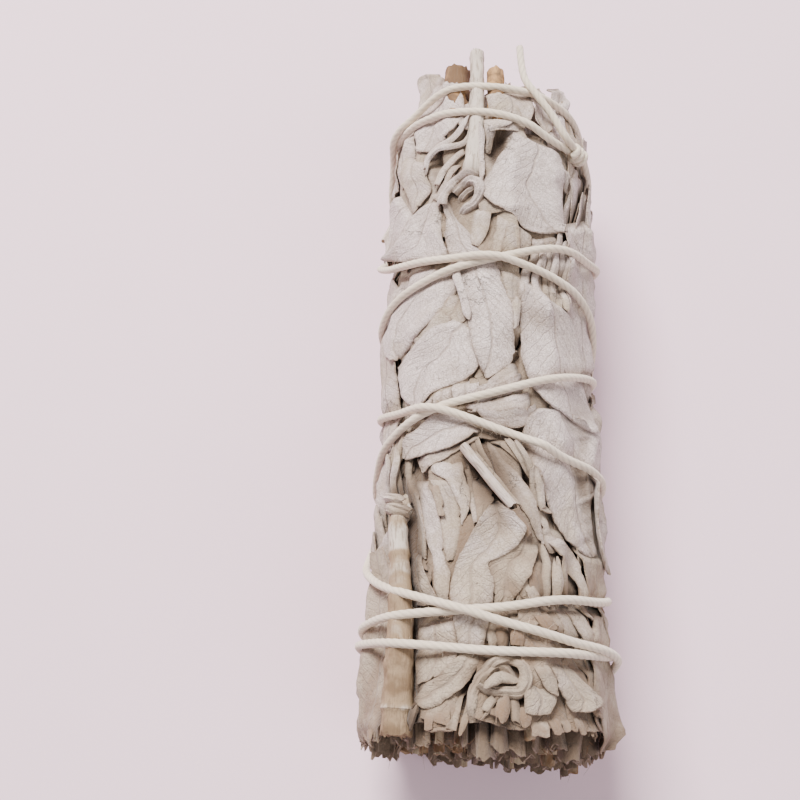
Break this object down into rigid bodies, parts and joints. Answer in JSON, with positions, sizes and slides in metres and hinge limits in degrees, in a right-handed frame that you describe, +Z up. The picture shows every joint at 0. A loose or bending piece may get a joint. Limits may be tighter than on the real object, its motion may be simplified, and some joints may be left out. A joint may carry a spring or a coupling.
{
  "type": "sage bunch",
  "caption": "Bundle of dried, silvery sage sprigs pressed into a thick round stick and bound crosswise with cotton string, lying on its side.",
  "frame": {"origin": "the middle of the whole lying bunch, on the surface that it rests on", "axes": "+Y along the bunch from its cut end towards its leaf tips; +Z up, away from the surface that it rests on"},
  "size_m": [0.0397, 0.1078, 0.0366],
  "materials": {
    "dried_leaf": "matte, felt-like, silvery cream",
    "woody_stem": "dry bark, tan to cream",
    "cotton_string": "matte twisted cotton"
  },
  "bodies": {
    "root": {"sprig_01": "dried_leaf", "sprig_02": "dried_leaf", "sprig_03": "dried_leaf", "sprig_04": "dried_leaf", "sprig_05": "dried_leaf", "sprig_06": "dried_leaf", "sprig_07": "dried_leaf", "sprig_08": "dried_leaf", "heart_sprig_left": "dried_leaf", "heart_sprig_right": "dried_leaf", "woody_stem_front": "woody_stem", "woody_stem_side": "woody_stem", "woody_stem_back": "woody_stem", "woody_stem_top": "woody_stem", "stem_stub_brown": "woody_stem", "stem_stub_tan": "woody_stem", "string": "cotton_string"}
  },
  "joints": []
}
